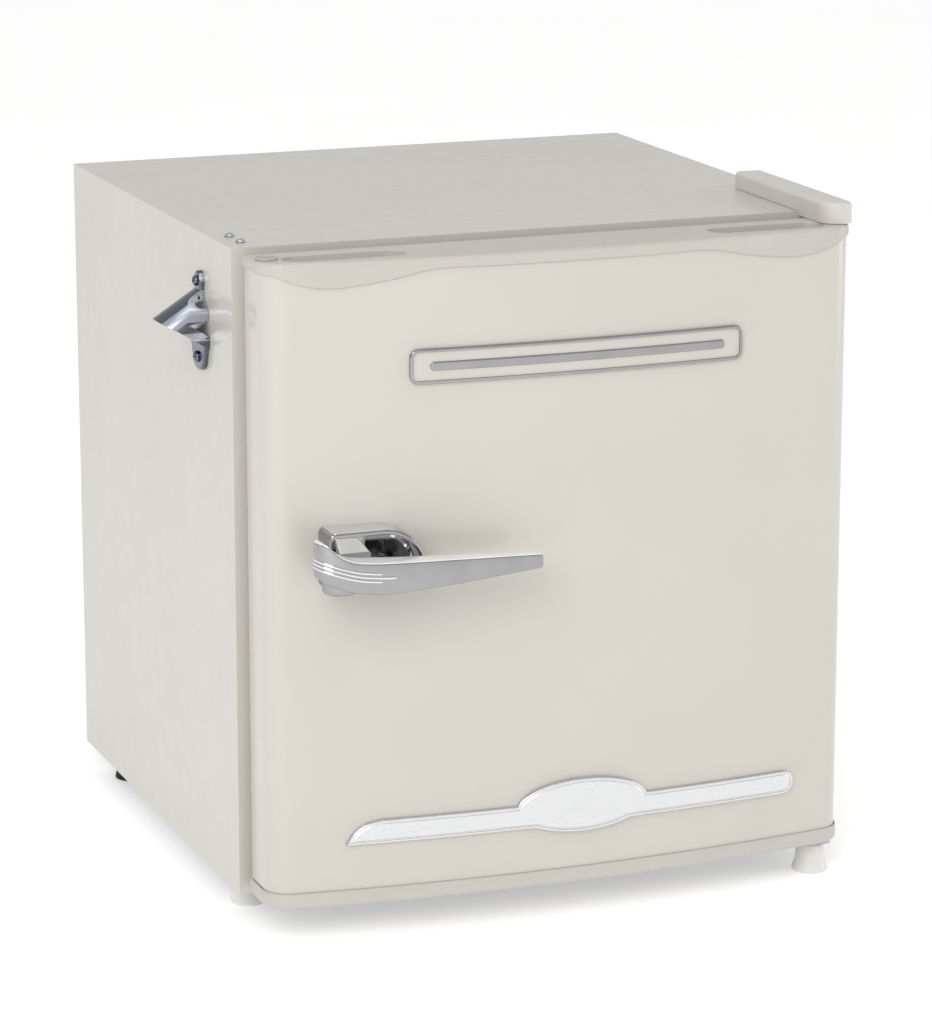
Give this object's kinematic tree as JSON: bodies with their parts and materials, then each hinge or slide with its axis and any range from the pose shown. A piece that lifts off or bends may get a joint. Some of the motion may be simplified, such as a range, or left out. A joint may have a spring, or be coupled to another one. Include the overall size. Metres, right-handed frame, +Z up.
{
  "type": "mini fridge",
  "caption": "Compact retro cube refrigerator with a bowed door hinged on the right, lever handle, bottle opener, door bins, glass shelf and freezer compartment.",
  "frame": {"origin": "middle of the footprint, on the surface that the feet stand on", "axes": "+X to the right seen from the front, +Y from the door to the back, +Z up"},
  "size_m": [0.4796, 0.5, 0.4915],
  "materials": {
    "cabinet_paint": "satin",
    "door_paint": "satin",
    "cap_plastic": "satin",
    "chrome": "polished",
    "zinc_sheet": "satin",
    "steel": "satin",
    "liner_plastic": "satin",
    "clear_plastic": "gloss",
    "shelf_glass": "gloss",
    "foam": "matte",
    "black_paint": "satin",
    "black_rubber": "matte",
    "gasket_vinyl": "matte",
    "grey_plastic": "matte",
    "copper": "satin",
    "evaporator_sheet": "satin"
  },
  "bodies": {
    "cabinet": {"cabinet_shell": "cabinet_paint", "back_panel": "zinc_sheet", "base_pan": "zinc_sheet", "insulation_foam": "foam", "inner_liner": "liner_plastic", "condenser_coil_left": "black_paint", "condenser_coil_right": "black_paint", "compressor_plate": "zinc_sheet", "compressor": "black_paint", "compressor_grommet_1": "black_rubber", "compressor_grommet_2": "black_rubber", "compressor_grommet_3": "black_rubber", "compressor_grommet_4": "black_rubber", "relay_cover": "grey_plastic", "filter_drier": "copper", "discharge_tube": "copper", "suction_tube": "copper", "cord_gland": "black_rubber", "evaporator": "evaporator_sheet", "freezer_frame": "liner_plastic", "thermostat_housing": "liner_plastic", "rear_left_foot": "black_rubber", "rear_right_foot": "black_rubber", "upper_hinge_bracket": "steel", "lower_hinge_bracket": "steel", "upper_hinge_screw_1": "steel", "upper_hinge_screw_2": "steel", "lower_hinge_screw_1": "steel", "lower_hinge_screw_2": "steel", "top_plug_1": "zinc_sheet", "top_plug_2": "zinc_sheet", "hinge_cover": "cap_plastic", "bottle_opener": "chrome", "opener_screw_top": "steel", "opener_screw_bottom": "steel"},
    "door": {"door_skin": "door_paint", "door_top_cap": "cap_plastic", "door_bottom_cap": "cap_plastic", "door_foam": "foam", "door_inner_liner": "liner_plastic", "door_gasket": "gasket_vinyl", "lower_bin": "clear_plastic", "upper_bin": "clear_plastic", "upper_hinge_bush": "liner_plastic", "lower_hinge_bush": "liner_plastic", "cap_plug": "grey_plastic", "handle_base": "chrome", "handle_lever": "chrome", "handle_barrel": "chrome", "badge_plate": "chrome", "bottom_trim": "chrome"},
    "freezer_flap": {"freezer_flap": "clear_plastic"},
    "thermostat_knob": {"thermostat_knob": "grey_plastic"},
    "drip_tray": {"drip_tray": "clear_plastic"},
    "shelf": {"shelf_glass": "shelf_glass", "shelf_front_trim": "liner_plastic", "shelf_rear_trim": "liner_plastic"},
    "left_foot": {"front_left_foot": "cabinet_paint"},
    "right_foot": {"front_right_foot": "cabinet_paint"}
  },
  "joints": [
    {"name": "door_swing", "type": "hinge", "parent": "cabinet", "child": "door", "pos_m": [0.22528, -0.171, 0.25], "axis": [0, 0, 1], "range_deg": [0, 115]},
    {"name": "freezer_flap_lift", "type": "hinge", "parent": "cabinet", "child": "freezer_flap", "pos_m": [-0.03772, -0.024, 0.434], "axis": [-1, 0, 0], "range_deg": [0, 90]},
    {"name": "thermostat_turn", "type": "hinge", "parent": "cabinet", "child": "thermostat_knob", "pos_m": [0.16228, -0.08, 0.417], "axis": [0, -1, 0], "range_deg": [0, 270]},
    {"name": "drip_tray_slide", "type": "slide", "parent": "cabinet", "child": "drip_tray", "axis": [0, -1, 0], "range_m": [0, 0.06]},
    {"name": "shelf_slide", "type": "slide", "parent": "cabinet", "child": "shelf", "axis": [0, -1, 0], "range_m": [0, 0.05]},
    {"name": "left_foot_height", "type": "slide", "parent": "cabinet", "child": "left_foot", "axis": [0, 0, -1], "range_m": [0, 0.012]},
    {"name": "right_foot_height", "type": "slide", "parent": "cabinet", "child": "right_foot", "axis": [0, 0, -1], "range_m": [0, 0.012]}
  ]
}
